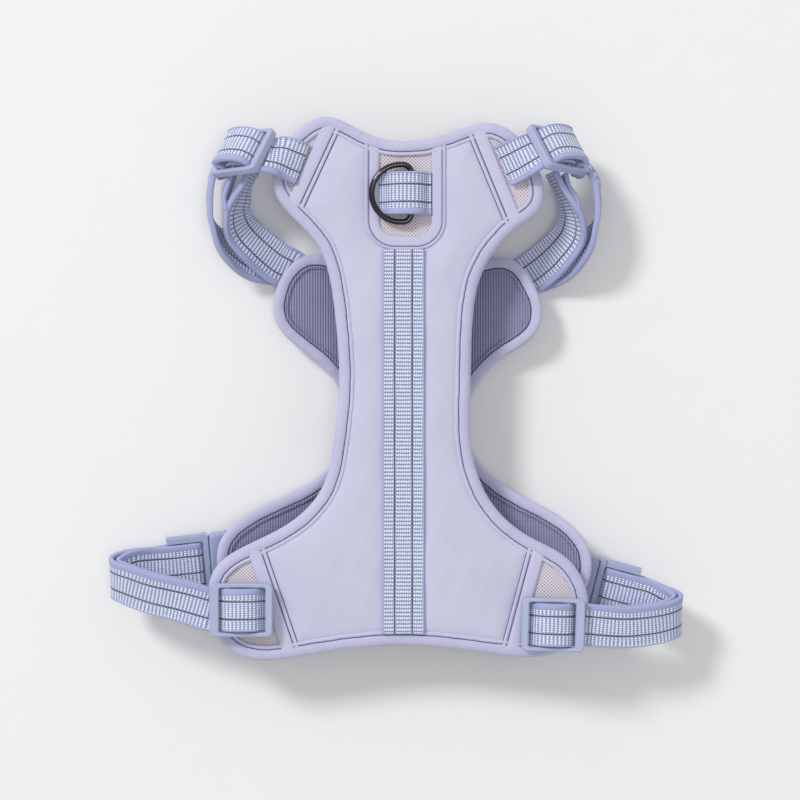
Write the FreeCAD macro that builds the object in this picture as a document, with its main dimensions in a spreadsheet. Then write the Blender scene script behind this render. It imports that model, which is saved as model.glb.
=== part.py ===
import FreeCAD, Part
import math
import os

# No-pull dog harness lying flat, lining of the chest panel up and the back panel above it.
# Frame: +Z up, origin under the middle of the whole object, on the surface it lies on.
# +Y points to the neck end, +X to the right as seen from above. Millimetres.

Vec = FreeCAD.Vector
doc = FreeCAD.newDocument("no_pull_harness")

# ---------------------------------------------------------------- driving dimensions
SIZES = {
    "strap_width": 25.0,
    "strap_gauge": 2.4,
    "webbing_gauge": 1.5,
    "back_floor": 37.0,       # underside of the back panel
    "lining_gauge": 1.0,
    "foam_gauge": 3.4,
    "mesh_gauge": 0.8,
    "shell_gauge": 1.5,
    "trim_gauge": 1.5,
    "binding_width": 8.5,
    "binding_lap": 0.3,       # how far a binding wraps past each face of its panel
    "chest_floor": 2.9,       # lowest line of the chest panel's outer face
    "chest_radius": 270.0,    # the chest panel is cupped about a line along Y
    "middle": 4.5,            # x of the centre line that the panels share
    "chest_shell": 1.2,
    "chest_foam": 4.3,
    "chest_webbing_gauge": 2.6,
    "ring_wire": 3.3,
    "ring_width": 33.2,       # centre line of a D-ring, along its bar
    "slider_length": 36.5,
    "slider_width": 31.0,
    "slider_gauge": 5.0,
    "slider_rail": 2.7,
    "slider_inner_bar": 4.2,
    "slider_outer_bar": 5.5,
    "slider_mid_bar": 4.5,
    "loop_wire": 2.6,         # rectangular ring at the chest end of a shoulder strap
    "loop_length": 13.0,
    "loop_width": 32.0,
    "tab_gauge": 1.2,
    "buckle_width": 34.0,
    "buckle_gauge": 8.5,
    "socket_length": 38.0,
    "socket_wall": 1.5,
    "plug_length": 24.0,
    "plug_rail": 3.9,
    "prong_gauge": 4.2,
}

sheet = doc.addObject("Spreadsheet::Sheet", "Sizes")
for row, (word, value) in enumerate(SIZES.items(), start=1):
    sheet.set("A%d" % row, word)
    sheet.set("B%d" % row, str(value))
    sheet.setAlias("B%d" % row, word)
doc.recompute()


def size(word):
    return float(sheet.get(word))


def bind(thing, prop, expression):
    """Binds a property to sheet cells; each <word> becomes Sizes.word."""
    thing.setExpression(prop, expression.replace("<", "Sizes.").replace(">", ""))


nodes = []


def keep(thing, label, placement=None):
    """Names a finished sub-part, which becomes one node."""
    thing.Label = label
    if placement is not None:
        thing.Placement = placement
    nodes.append(thing)
    return thing


def axes_placement(origin, along, across):
    """Placement whose local x runs along a direction and local y near another."""
    ex = Vec(*along).normalize()
    ez = ex.cross(Vec(*across)).normalize()
    ey = ez.cross(ex)
    return FreeCAD.Placement(Vec(*origin), FreeCAD.Rotation(ex, ey, ez, "XYZ"))


# ---------------------------------------------------------------- outlines, seen from above
BACK_OUTLINE = [
    (6.5, 144), (-12.5, 146.5), (-27, 153.5), (-41.5, 158), (-54.5, 152.5), (-64, 142),
    (-71.5, 129), (-71.5, 116), (-65, 104.5), (-54.5, 93.5), (-45, 81.5), (-38.5, 62),
    (-35, 35.5), (-33.5, 0.5), (-36.5, -30), (-43.5, -58), (-60, -76.5), (-89, -92),
    (-105.5, -104.5), (-110, -123), (-104, -145), (-91, -155.5), (-56, -156), (3, -149.5),
    (60, -155), (89, -155), (105.5, -146), (111.5, -130), (109.5, -114), (99.5, -99),
    (78, -86.5), (56.5, -68), (45.5, -44), (43, 0), (44.5, 42), (49, 65), (61.5, 85),
    (72, 94.5), (83.5, 104.5), (85.5, 118.5), (79.5, 134), (70, 147), (54.5, 154.5), (30, 148.5),
]
CHEST_OUTLINE = [
    (4.5, 61), (-21.5, 67), (-41, 79), (-56, 78), (-71.5, 57), (-71.5, 40), (-50.5, 18.5),
    (-34.5, 0), (-31.5, -21.5), (-40, -46), (-65.5, -63), (-91, -76), (-103, -88.5),
    (-105, -104), (-96, -124.5), (-57, -133), (4.5, -135), (67, -133), (104, -126),
    (114, -108), (111, -90), (97.5, -76), (67.5, -59.5), (47, -40), (41.5, -20), (48, 2),
    (66, 20), (82, 32), (86, 46), (81, 62), (69, 76), (53, 77), (31.5, 67),
]
# each hem line: the two ends of a shell edge, and the side that stays bare mesh
HEMS = {
    "front_left": ((-42.5, 154.4), (-63.4, 109.2)),
    "front_right": ((53.1, 146.4), (69.9, 105.8)),
    "rear_left": ((-89, -88), (-63.5, -162)),
    "rear_right": ((88, -89), (68.5, -162)),
}
HEM_WIDTH = 10.5
PAST_EDGE = 40.0
OUTLINE_SPANS = 8       # an outline is drawn in this many curves, end to end
TURN = -1               # both outlines run anticlockwise, so their left side is the panel
WINDOW = {"left": -10.0, "right": 20.5, "top": 134.5, "bottom": 88.5, "corner": 9.0}
TRIM_BAND = 8.0


def closed_curve(points):
    curve = Part.BSplineCurve()
    curve.interpolate([Vec(*point, 0) for point in points], PeriodicFlag=True)
    return curve


def outline_sketch(name, points):
    sketch = doc.addObject("Sketcher::SketchObject", name)
    curve = closed_curve(points)
    first, last = curve.FirstParameter, curve.LastParameter
    for k in range(OUTLINE_SPANS):
        span = curve.copy()
        span.segment(first + (last - first) * k / OUTLINE_SPANS,
                     first + (last - first) * (k + 1) / OUTLINE_SPANS)
        sketch.addGeometry(span, False)
    return sketch


def inset_points(points, distance):
    """The outline moved inwards, point by point."""
    curve = closed_curve(points)
    first, last = curve.FirstParameter, curve.LastParameter
    count = len(points)
    moved = []
    for k in range(count):
        at = first + (last - first) * k / count
        spot, heading = curve.value(at), curve.tangent(at)[0]
        moved.append((spot.x + TURN * heading.y * distance, spot.y - TURN * heading.x * distance))
    return moved


def polygon_sketch(name, points):
    sketch = doc.addObject("Sketcher::SketchObject", name)
    for start, end in zip(points, points[1:] + points[:1]):
        sketch.addGeometry(Part.LineSegment(Vec(*start, 0), Vec(*end, 0)), False)
    return sketch


def slab(source, name, floor, gauge):
    """Upright extrusion of an outline from a floor height."""
    prism = doc.addObject("Part::Extrusion", name)
    prism.Base = source
    prism.DirMode = "Custom"
    prism.Dir = Vec(0, 0, 1)
    prism.Solid = True
    bind(prism, "LengthFwd", gauge)
    bind(prism, ".Placement.Base.z", floor)
    return prism


def cut(name, base, tool):
    result = doc.addObject("Part::Cut", name)
    result.Base = base
    result.Tool = tool
    return result


def common(name, *shapes):
    result = doc.addObject("Part::MultiCommon", name)
    result.Shapes = list(shapes)
    return result


def fuse(name, *shapes):
    result = doc.addObject("Part::MultiFuse", name)
    result.Shapes = list(shapes)
    return result


def block(name, low, high):
    box = doc.addObject("Part::Box", name)
    box.Length = high[0] - low[0]
    box.Width = high[1] - low[1]
    box.Height = high[2] - low[2]
    box.Placement.Base = Vec(*low)
    return box


# ---------------------------------------------------------------- back panel
def outward_strip(ends, first, last):
    """Four corners of a strip beside a hem line, between two distances out from the panel."""
    (ax, ay), (bx, by) = ends
    length = math.hypot(bx - ax, by - ay)
    nx, ny = (by - ay) / length, -(bx - ax) / length
    if nx * (ax + bx) < 0:
        nx, ny = -nx, -ny
    return [(ax + nx * first, ay + ny * first), (bx + nx * first, by + ny * first),
            (bx + nx * last, by + ny * last), (ax + nx * last, ay + ny * last)]


def window_sketch(name, grow):
    """U-shaped opening: open corners at the neck, round ones below."""
    left, right = WINDOW["left"] - grow, WINDOW["right"] + grow
    top, bottom = WINDOW["top"], WINDOW["bottom"] - grow
    r = WINDOW["corner"] + grow
    bend = r * math.sqrt(0.5)
    sketch = doc.addObject("Sketcher::SketchObject", name)
    for start, end in (((left, bottom + r), (left, top)), ((left, top), (right, top)),
                       ((right, top), (right, bottom + r)), ((right - r, bottom), (left + r, bottom))):
        sketch.addGeometry(Part.LineSegment(Vec(*start, 0), Vec(*end, 0)), False)
    for start, middle, end in (
            ((right, bottom + r), (right - r + bend, bottom + r - bend), (right - r, bottom)),
            ((left + r, bottom), (left + r - bend, bottom + r - bend), (left, bottom + r))):
        sketch.addGeometry(Part.Arc(Vec(*start, 0), Vec(*middle, 0), Vec(*end, 0)), False)
    return sketch


def make_back_panel():
    outline = outline_sketch("back_outline", BACK_OUTLINE)
    inner = outline_sketch("back_inner", inset_points(BACK_OUTLINE, size("binding_width")))
    lining_top = "<back_floor>+<lining_gauge>"
    foam_top = lining_top + "+<foam_gauge>"
    mesh_top = foam_top + "+<mesh_gauge>"
    shell_top = mesh_top + "+<shell_gauge>"
    full = "<lining_gauge>+<foam_gauge>+<mesh_gauge>+<shell_gauge>"
    keep(slab(inner, "back_lining_slab", "<back_floor>", "<lining_gauge>"), "back_panel_lining")
    keep(slab(inner, "back_foam_slab", lining_top, "<foam_gauge>"), "back_panel_foam")
    keep(slab(inner, "back_mesh_slab", foam_top, "<mesh_gauge>"), "back_panel_mesh")
    sheet_slab = slab(inner, "back_shell_slab", mesh_top, "<shell_gauge>")
    openings = [slab(window_sketch("window", 0.0), "window_tool", mesh_top, "<shell_gauge>")]
    for corner, ends in HEMS.items():
        bare = polygon_sketch("bare_" + corner, outward_strip(ends, 0.0, PAST_EDGE))
        openings.append(slab(bare, "bare_tool_" + corner, mesh_top, "<shell_gauge>"))
    keep(cut("back_shell", sheet_slab, fuse("shell_openings", *openings)), "back_panel_shell")
    rim = slab(outline, "back_rim_slab", "<back_floor>-<binding_lap>", full + "+2*<binding_lap>")
    core = slab(inner, "back_rim_core", "<back_floor>-<binding_lap>", full + "+2*<binding_lap>")
    keep(cut("back_rim", rim, core), "back_panel_binding")
    for corner, ends in HEMS.items():
        strip = polygon_sketch("hem_" + corner, outward_strip(ends, -HEM_WIDTH, 0.0))
        field = slab(inner, "hem_field_" + corner, shell_top, "<trim_gauge>")
        band = slab(strip, "hem_band_" + corner, shell_top, "<trim_gauge>")
        keep(common("hem_common_" + corner, field, band), "back_hem_" + corner)
    outer = slab(window_sketch("trim_outer", TRIM_BAND), "trim_slab", shell_top, "<trim_gauge>")
    hole = slab(window_sketch("trim_inner", 0.0), "trim_hole", shell_top, "<trim_gauge>")
    keep(cut("window_trim", outer, hole), "back_window_trim")
    ribbon = block("back_ribbon", (-8.5, -140.5, 0), (16.5, 80, 1))
    bind(ribbon, "Width", "220.5")
    bind(ribbon, "Length", "<strap_width>")
    bind(ribbon, "Height", "<webbing_gauge>")
    bind(ribbon, ".Placement.Base.z", shell_top)
    keep(ribbon, "back_webbing")


# ---------------------------------------------------------------- chest panel
def cupped(name, depth_low, depth_high, source):
    """Layer of the cupped chest panel between two depths measured up from its outer face."""
    drums = []
    for suffix, depth in (("_out", depth_low), ("_in", depth_high)):
        drum = doc.addObject("Part::Cylinder", name + suffix)
        bind(drum, "Radius", "<chest_radius>-(%s)" % depth)
        drum.Height = 400
        drum.Placement = FreeCAD.Placement(Vec(0, 200, 0), FreeCAD.Rotation(Vec(1, 0, 0), 90))
        bind(drum, ".Placement.Base.x", "<middle>")
        bind(drum, ".Placement.Base.z", "<chest_floor>+<chest_radius>")
        drums.append(drum)
    field = slab(source, name + "_field", "<chest_floor>-2", "60")
    return cut(name, common(name + "_below", field, drums[0]), drums[1])


def make_chest_panel():
    outline = outline_sketch("chest_outline", CHEST_OUTLINE)
    inner = outline_sketch("chest_inner", inset_points(CHEST_OUTLINE, size("binding_width")))
    foam_low = "<chest_shell>"
    foam_high = "<chest_shell>+<chest_foam>"
    lining_high = foam_high + "+<lining_gauge>"
    keep(cupped("chest_shell_layer", "0", foam_low, inner), "chest_panel_shell")
    keep(cupped("chest_foam_layer", foam_low, foam_high, inner), "chest_panel_foam")
    keep(cupped("chest_lining_layer", foam_high, lining_high, inner), "chest_panel_lining")
    full = cupped("chest_rim_full", "-<binding_lap>", lining_high + "+<binding_lap>", outline)
    core = slab(inner, "chest_rim_core", "<chest_floor>-2", "60")
    keep(cut("chest_rim", full, core), "chest_panel_binding")
    ribbon = block("chest_ribbon", (-8, -122, 0), (17, 49, 1))
    bind(ribbon, "Length", "<strap_width>")
    bind(ribbon, "Height", "<chest_webbing_gauge>")
    keep(ribbon, "chest_webbing")


# ---------------------------------------------------------------- straps
def smooth(stations, steps):
    """Catmull-Rom curve through stations of any length, with its ends held."""
    padded = [stations[0]] + stations + [stations[-1]]
    out = []
    for a, b, c, d in zip(padded, padded[1:], padded[2:], padded[3:]):
        for k in range(steps):
            u = k / steps
            out.append([0.5 * (2 * q + (r - p) * u + (2 * p - 5 * q + 4 * r - s) * u * u
                               + (3 * q - p - 3 * r + s) * u ** 3)
                        for p, q, r, s in zip(a, b, c, d)])
    return out + [list(stations[-1])]


def band(stations, width, gauge, steps=2):
    """Closed solid of a strap: stations are centre x, y, z and width direction x, y, z."""
    path = smooth(stations, steps)
    centres = [Vec(*p[:3]) for p in path]
    sections = []
    for k, station in enumerate(path):
        ahead = centres[min(k + 1, len(path) - 1)]
        behind = centres[max(k - 1, 0)]
        tangent = (ahead - behind).normalize()
        across = Vec(*station[3:])
        across = (across - tangent * across.dot(tangent)).normalize() * (width / 2)
        normal = tangent.cross(across).normalize() * (gauge / 2)
        corners = [centres[k] + across + normal, centres[k] - across + normal,
                   centres[k] - across - normal, centres[k] + across - normal]
        sections.append(Part.makePolygon(corners + corners[:1]))
    return Part.makeLoft(sections, True, True)


def local_stations(placement, points, sense):
    """Stations given in a fitting's own x (outward) and z; sense is the strap's way across its y."""
    across = placement.Rotation.multVec(Vec(0, sense, 0))
    return [(*placement.multVec(Vec(x, 0, z)), *across) for x, z in points]


SLIDERS = {
    "left_girth": axes_placement((-89.7, -128, 50.6), (-1, 0, 0), (0, -1, 0)),
    "right_girth": axes_placement((90.5, -136.5, 50.6), (1, -0.03, 0), (0, 1, 0)),
    "left_shoulder": axes_placement((-89.1, 137, 40.5), (-0.75, -0.03, -0.66), (-0.27, -0.8, 0.53)),
    "right_shoulder": axes_placement((93.8, 138.6, 40.3), (0.7, -0.06, -0.71), (-0.27, 0.8, -0.53)),
}
BUCKLES = {
    "left": axes_placement((-111, -102.3, 13.5), (-0.98, -0.1, 0.16), (0, -0.99, -0.14)),
    "right": axes_placement((117.8, -116.4, 13.5), (0.95, -0.25, 0.16), (0.25, 0.96, 0.14)),
}
CHEST_RINGS = {
    "left": axes_placement((-58.5, 67.2, 4.0), (-0.81, 0.58, 0), (-0.58, -0.81, 0)),
    "right": axes_placement((71.5, 63.2, 4.0), (0.84, 0.54, 0), (-0.54, 0.84, 0)),
}
# strap through a slider: rises inside the inner bar, crosses the middle bar, dives under the outer bar
OVER_MIDDLE = [(-15.8, -4.05), (-13, -3.85), (-10.8, -1.2), (-8, 2.2), (-4, 3.9), (0.5, 4.4), (5, 3.8),
               (8.4, 2.0), (10.2, -0.8), (11.0, -3.4), (13, -4.9), (16, -5.1), (19, -5.2)]
OVER_SHOULDER = [(-15.8, -4.05), (-13, -3.85), (-11.0, -1.0), (-9.8, 2.6), (-7.4, 5.8), (-2.5, 7.8), (3, 8.5),
                 (8.5, 8.0), (12.3, 6.1), (12.0, 3.8), (9.9, 1.3), (9.9, -1.3), (11.1, -3.7), (13, -5.2), (16, -5.8), (19, -6.5)]
# strap round the plug's bar: lower layer in, upper layer out
ROUND_PLUG_BAR = [(22, -3.2), (14, -3.2), (8, -3.1), (5.6, -2.2), (4.7, 0), (5.6, 2.2),
                  (8, 3.1), (14, 3.2), (22, 3.2)]
# strap round the chest ring's outer bar: lower layer in, upper layer out
ROUND_CHEST_RING = [(9, -2.1), (5, -2.5), (1.4, -2.7), (-1.7, -2.2), (-2.85, 0), (-1.7, 2.2), (1.4, 2.75), (7, 2.7)]

GIRTH_RUNS = {
    "left": {
        "out": [(-126, -123, 45, 0, -1, -0.15), (-143, -119, 43, 0, -1, -0.25),
                (-157, -114.5, 40, 0, -1, -0.3), (-164.5, -112, 35.5, 0, -1, -0.33),
                (-166.3, -110, 31, 0, -1, -0.36), (-163.5, -107.5, 26.5, 0, -1, -0.38),
                (-155, -106, 21.5, 0, -1, -0.3), (-143, -105.6, 16.2, 0.1, -1, -0.16)],
        "back": [(-143, -105.6, 22.2, 0.1, -1, -0.16), (-153, -106, 26, 0, -1, -0.3),
                 (-159, -108.5, 29, 0, -1, -0.36), (-161.3, -110.5, 32, 0, -1, -0.34),
                 (-157, -113.5, 36, 0, -1, -0.3), (-143, -118.5, 39.4, 0, -1, -0.25),
                 (-126, -122.5, 41.3, 0, -1, -0.15), (-115.5, -126, 42, 0, -1, 0)],
    },
    "right": {
        "out": [(130, -138.5, 45, 0, -1, -0.15), (146, -137.5, 43, 0, -1, -0.22),
                (158, -135.5, 40, 0, -1, -0.28), (164.2, -133.5, 35.5, 0, -1, -0.32),
                (165.8, -131.5, 31, 0, -1, -0.36), (163, -129.5, 26.5, -0.08, -1, -0.36),
                (156, -127.5, 21.5, -0.15, -1, -0.28), (147.5, -124.6, 16.5, -0.25, -1, -0.15)],
        "back": [(147.5, -124.6, 22.3, -0.25, -1, -0.15), (154, -127.5, 26.3, -0.15, -1, -0.28),
                 (158.8, -129.5, 29, -0.08, -1, -0.36), (160.8, -131.5, 32, 0, -1, -0.34),
                 (157, -134.5, 36, 0, -1, -0.28), (146, -137, 39.4, 0, -1, -0.22),
                 (130, -138, 41.3, 0, -1, -0.15), (117, -138, 42, 0, -1, 0)],
    },
}
SHOULDER_RUNS = {
    "left": {
        "hem": [(-55.1, 130.3, 44.7, -0.35, -0.93, 0), (-60, 132, 46.9, -0.33, -0.94, 0),
                (-66, 133.9, 48.9, -0.3, -0.9, 0.22),
                (-71.6, 134.4, 48.7, -0.27, -0.82, 0.5)],
        "out": [(-106.4, 128.2, 21.0, -0.08, -0.46, 0.88), (-109, 120, 23.5, 0.08, -0.12, 1),
                (-109.9, 110, 23.5, 0.1, 0, 1), (-108.6, 97, 22, 0, 0.05, 1),
                (-100.3, 84.2, 17.5, -0.42, -0.2, 0.88), (-86.6, 76.4, 10.2, -0.62, -0.6, 0.5),
                (-73.4, 74.2, 4.5, -0.6, -0.78, 0.1)],
        "back": [(-72, 75.2, 9.4, -0.6, -0.78, 0.15), (-82, 83.2, 15.2, -0.7, -0.6, 0.42),
                 (-90.8, 92.8, 20.5, -0.75, -0.33, 0.56), (-93.8, 102.5, 24, -0.55, -0.15, 0.82),
                 (-92, 110.5, 25.8, -0.38, -0.1, 0.92), (-88.4, 119.5, 27.1, -0.14, -0.1, 0.98),
                 (-83.4, 129.5, 27.6, -0.18, -0.1, 0.97)],
    },
    "right": {
        "hem": [(62.2, 128.8, 44.4, 0.386, -0.92, 0), (68.8, 131.8, 46.6, 0.38, -0.92, 0),
                (75.2, 134.8, 49.4, 0.31, -0.88, 0.24)],
        "out": [(112.8, 128, 20.0, 0.1, -0.48, 0.87), (117, 120, 23.5, -0.08, -0.12, 1),
                (118.6, 109.5, 23.5, -0.1, 0, 1), (117.4, 97, 22, 0, 0.05, 1),
                (110.6, 85, 18, 0.42, -0.2, 0.88), (98.5, 75.3, 10.2, 0.6, -0.62, 0.5),
                (86.3, 70.4, 4.8, 0.56, -0.8, 0.1)],
        "back": [(85.5, 72.5, 9.4, 0.58, -0.8, 0.15), (93.6, 79.6, 15.4, 0.68, -0.55, 0.44),
                 (101.6, 90, 20.6, 0.72, -0.3, 0.6), (103.2, 99.5, 24, 0.52, -0.12, 0.84),
                 (100.6, 108, 26, 0.3, -0.08, 0.95), (96, 117, 27, 0.16, -0.08, 0.98),
                 (90.8, 127, 27.6, 0.18, -0.1, 0.97)],
    },
}


def strap_node(label, stations, steps=2):
    strap = doc.addObject("Part::Feature", label + "_band")
    strap.Shape = band(stations, size("strap_width"), size("strap_gauge"), steps)
    keep(strap, label)


def make_straps():
    for side, sense in (("left", 1), ("right", -1)):
        run = GIRTH_RUNS[side]
        slider = local_stations(SLIDERS[side + "_girth"], OVER_MIDDLE, sense)
        plug = local_stations(BUCKLES[side], ROUND_PLUG_BAR, sense)
        strap_node(side + "_girth_strap", slider + run["out"] + plug + run["back"])
        run = SHOULDER_RUNS[side]
        slider = local_stations(SLIDERS[side + "_shoulder"], OVER_SHOULDER, sense)
        ring = local_stations(CHEST_RINGS[side], ROUND_CHEST_RING, sense)
        strap_node(side + "_shoulder_strap", run["hem"] + slider + run["out"] + ring + run["back"])
    profile = [(-9.8, 43.5), (-7.2, 43.7), (-5.2, 45.4), (-2.5, 48.6), (1, 50.6), (6, 51.4), (11, 50.8),
               (14.2, 48.4), (16.2, 45.4), (18, 43.7), (20.2, 43.5)]
    strap_node("back_leash_loop", [(x, 113, z, 0, -1, 0) for x, z in profile])


# ---------------------------------------------------------------- rings
def wire_ring(path_edges, centre, radius, direction):
    path = Part.Wire(path_edges)
    section = Part.Wire(Part.makeCircle(radius, centre, direction))
    return path.makePipeShell([section], True, True)


def d_ring_shape():
    """D-ring in its own plane: bar along y at x = 0, bow towards -x."""
    half = size("ring_width") / 2
    corner = 4.8
    leg = 6.3
    s = corner * (1 - math.sqrt(0.5))
    edges = [
        Part.LineSegment(Vec(0, 0, 0), Vec(0, half - corner, 0)).toShape(),
        Part.Arc(Vec(0, half - corner, 0), Vec(-s, half - s, 0), Vec(-corner, half, 0)).toShape(),
        Part.LineSegment(Vec(-corner, half, 0), Vec(-leg, half, 0)).toShape(),
        Part.Arc(Vec(-leg, half, 0), Vec(-leg - half, 0, 0), Vec(-leg, -half, 0)).toShape(),
        Part.LineSegment(Vec(-leg, -half, 0), Vec(-corner, -half, 0)).toShape(),
        Part.Arc(Vec(-corner, -half, 0), Vec(-s, s - half, 0), Vec(0, corner - half, 0)).toShape(),
        Part.LineSegment(Vec(0, corner - half, 0), Vec(0, 0, 0)).toShape(),
    ]
    return wire_ring(edges, Vec(0, 0, 0), size("ring_wire") / 2, Vec(0, 1, 0))


def rectangle_ring_shape():
    """Rectangular ring: outer bar along y at x = 0, inner bar towards -x."""
    half = (size("loop_width") - size("loop_wire")) / 2
    depth = size("loop_length") - size("loop_wire")
    r = 2.5
    s = r * (1 - math.sqrt(0.5))
    edges = [
        Part.LineSegment(Vec(0, 0, 0), Vec(0, half - r, 0)).toShape(),
        Part.Arc(Vec(0, half - r, 0), Vec(-s, half - s, 0), Vec(-r, half, 0)).toShape(),
        Part.LineSegment(Vec(-r, half, 0), Vec(r - depth, half, 0)).toShape(),
        Part.Arc(Vec(r - depth, half, 0), Vec(s - depth, half - s, 0), Vec(-depth, half - r, 0)).toShape(),
        Part.LineSegment(Vec(-depth, half - r, 0), Vec(-depth, r - half, 0)).toShape(),
        Part.Arc(Vec(-depth, r - half, 0), Vec(s - depth, s - half, 0), Vec(r - depth, -half, 0)).toShape(),
        Part.LineSegment(Vec(r - depth, -half, 0), Vec(-r, -half, 0)).toShape(),
        Part.Arc(Vec(-r, -half, 0), Vec(-s, s - half, 0), Vec(0, r - half, 0)).toShape(),
        Part.LineSegment(Vec(0, r - half, 0), Vec(0, 0, 0)).toShape(),
    ]
    return wire_ring(edges, Vec(0, 0, 0), size("loop_wire") / 2, Vec(0, 1, 0))


def shape_node(label, shape, placement):
    thing = doc.addObject("Part::Feature", label + "_form")
    thing.Shape = shape
    keep(thing, label, placement)


def bar_wrap_shape(bar_radius, gauge, width, tail_length, tail_top, tail_bottom):
    """Webbing wrapped round a bar along y at the origin, with its tail towards -x."""
    grip = bar_radius + 0.2
    outside = grip + gauge
    roll = Part.makeCylinder(outside, width, Vec(0, -width / 2, 0), Vec(0, 1, 0))
    lean = math.radians(60)
    corner_x, corner_z = -outside * math.cos(lean), outside * math.sin(lean)
    neck_x = -outside - 3.0
    profile = Part.makePolygon([
        Vec(corner_x, -width / 2, corner_z), Vec(neck_x, -width / 2, tail_top),
        Vec(neck_x, -width / 2, tail_bottom), Vec(corner_x, -width / 2, -corner_z),
        Vec(corner_x, -width / 2, corner_z)])
    throat = Part.Face(profile).extrude(Vec(0, width, 0))
    tail = Part.makeBox(tail_length, width, tail_top - tail_bottom,
                        Vec(neck_x - tail_length, -width / 2, tail_bottom))
    bore = Part.makeCylinder(grip, width, Vec(0, -width / 2, 0), Vec(0, 1, 0))
    return roll.fuse([throat, tail]).cut(bore).removeSplitter()


def make_rings():
    back = FreeCAD.Placement(Vec(8.5, 113, 46.95), FreeCAD.Rotation())
    shape_node("back_d_ring", d_ring_shape(), back)
    chest_bar = Vec(4.5, 70.5, 3.4)
    chest = FreeCAD.Placement(chest_bar, FreeCAD.Rotation(Vec(0, 0, 1), -90))
    shape_node("chest_d_ring", d_ring_shape(), chest)
    loop = bar_wrap_shape(size("ring_wire") / 2, 1.3, 22.0, 8.0, -0.9, -3.3)
    turned = FreeCAD.Placement(chest_bar, FreeCAD.Rotation(Vec(0, 0, 1), 90))
    shape_node("chest_ring_loop", loop, turned)
    for side, placement in CHEST_RINGS.items():
        shape_node(side + "_shoulder_ring", rectangle_ring_shape(), placement)
        tab = bar_wrap_shape(size("loop_wire") / 2, size("tab_gauge"), 24.0, 8.0, 0.6, -2.2)
        inner_bar = placement.multVec(Vec(size("loop_wire") - size("loop_length"), 0, 0))
        shape_node(side + "_shoulder_ring_tab", tab, FreeCAD.Placement(inner_bar, placement.Rotation))


# ---------------------------------------------------------------- strap sliders
def rounded_box(name, length, width, height, radius, x, z):
    """Box centred on y with rounded upright edges; x and z place its low corner."""
    box = doc.addObject("Part::Box", name)
    bind(box, "Length", length)
    bind(box, "Width", width)
    bind(box, "Height", height)
    bind(box, ".Placement.Base.x", x)
    bind(box, ".Placement.Base.y", "-(%s)/2" % width)
    bind(box, ".Placement.Base.z", z)
    if radius == 0:
        return box
    doc.recompute()
    softened = doc.addObject("Part::Fillet", name + "_soft")
    softened.Base = box
    upright = [k for k, edge in enumerate(box.Shape.Edges, start=1)
               if abs(edge.tangentAt(edge.FirstParameter).z) > 0.99]
    softened.Edges = [(k, radius, radius) for k in upright]
    return softened


def soften(name, base, radius, chosen):
    """Fillet of the edges of a finished solid that a test picks out."""
    doc.recompute()
    rounded = doc.addObject("Part::Fillet", name)
    rounded.Base = base
    picked = [k for k, edge in enumerate(base.Shape.Edges, start=1) if chosen(edge)]
    rounded.Edges = [(k, radius, radius) for k in picked]
    doc.recompute()
    return rounded


def make_sliders():
    half_gauge = size("slider_gauge") / 2
    for name, placement in SLIDERS.items():
        frame = rounded_box(name + "_outer", "<slider_length>", "<slider_width>", "<slider_gauge>",
                            3.5, "-<slider_length>/2", "-<slider_gauge>/2")
        opening = rounded_box(name + "_opening",
                              "<slider_length>-<slider_inner_bar>-<slider_outer_bar>",
                              "<slider_width>-2*<slider_rail>", "<slider_gauge>+2", 1.0,
                              "<slider_inner_bar>-<slider_length>/2", "-<slider_gauge>/2-1")
        rim = soften(name + "_rim", cut(name + "_hollow", frame, opening), 1.0,
                     lambda edge: all(abs(abs(v.Z) - half_gauge) < 0.01 for v in edge.Vertexes))
        middle = rounded_box(name + "_middle", "<slider_mid_bar>", "<slider_width>-<slider_rail>",
                             "2.6", 0, "-<slider_mid_bar>/2", "-2.1")
        keep(fuse(name + "_body", rim, middle), name + "_slider", placement)


# ---------------------------------------------------------------- side-release buckles
def make_buckles():
    for side, placement in BUCKLES.items():
        make_socket(side, placement)
        make_plug(side, placement)
        make_prongs(side, placement)
        tab = bar_wrap_shape(2.6, 1.2, 24.0, 6.0, 3.2, 0.6)
        bar = placement.multVec(Vec(1.8 - size("socket_length"), 0, 0))
        shape_node(side + "_buckle_tab", tab, FreeCAD.Placement(bar, placement.Rotation))


def make_socket(side, placement):
    name = side + "_socket"
    casing = rounded_box(name + "_casing", "<socket_length>", "<buckle_width>", "<buckle_gauge>",
                         4.0, "-<socket_length>-0.4", "-<buckle_gauge>/2")
    shell = soften(name + "_round", casing, 1.6,
                   lambda edge: all(abs(abs(v.Z) - size("buckle_gauge") / 2) < 0.01 for v in edge.Vertexes))
    cavity = rounded_box(name + "_cavity", "<socket_length>-9", "<buckle_width>-7",
                         "<buckle_gauge>-2*<socket_wall>", 0, "-<socket_length>+8.6",
                         "-<buckle_gauge>/2+<socket_wall>")
    windows = rounded_box(name + "_windows", "14", "<buckle_width>+2",
                          "<buckle_gauge>-2*<socket_wall>", 0, "-25", "-<buckle_gauge>/2+<socket_wall>")
    slot = rounded_box(name + "_slot", "4", "<strap_width>+1", "<buckle_gauge>+2", 0,
                       "4-<socket_length>", "-<buckle_gauge>/2-1")
    end_relief = rounded_box(name + "_relief", "5", "<strap_width>+1", "<buckle_gauge>", 0,
                             "-<socket_length>-1", "1.6")
    under_relief = rounded_box(name + "_under", "5", "<strap_width>+1", "<buckle_gauge>", 0,
                               "-<socket_length>-1", "-1.6-<buckle_gauge>")
    tools = fuse(name + "_tools", cavity, windows, slot, end_relief, under_relief)
    keep(cut(name + "_body", shell, tools), side + "_buckle_socket", placement)


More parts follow.
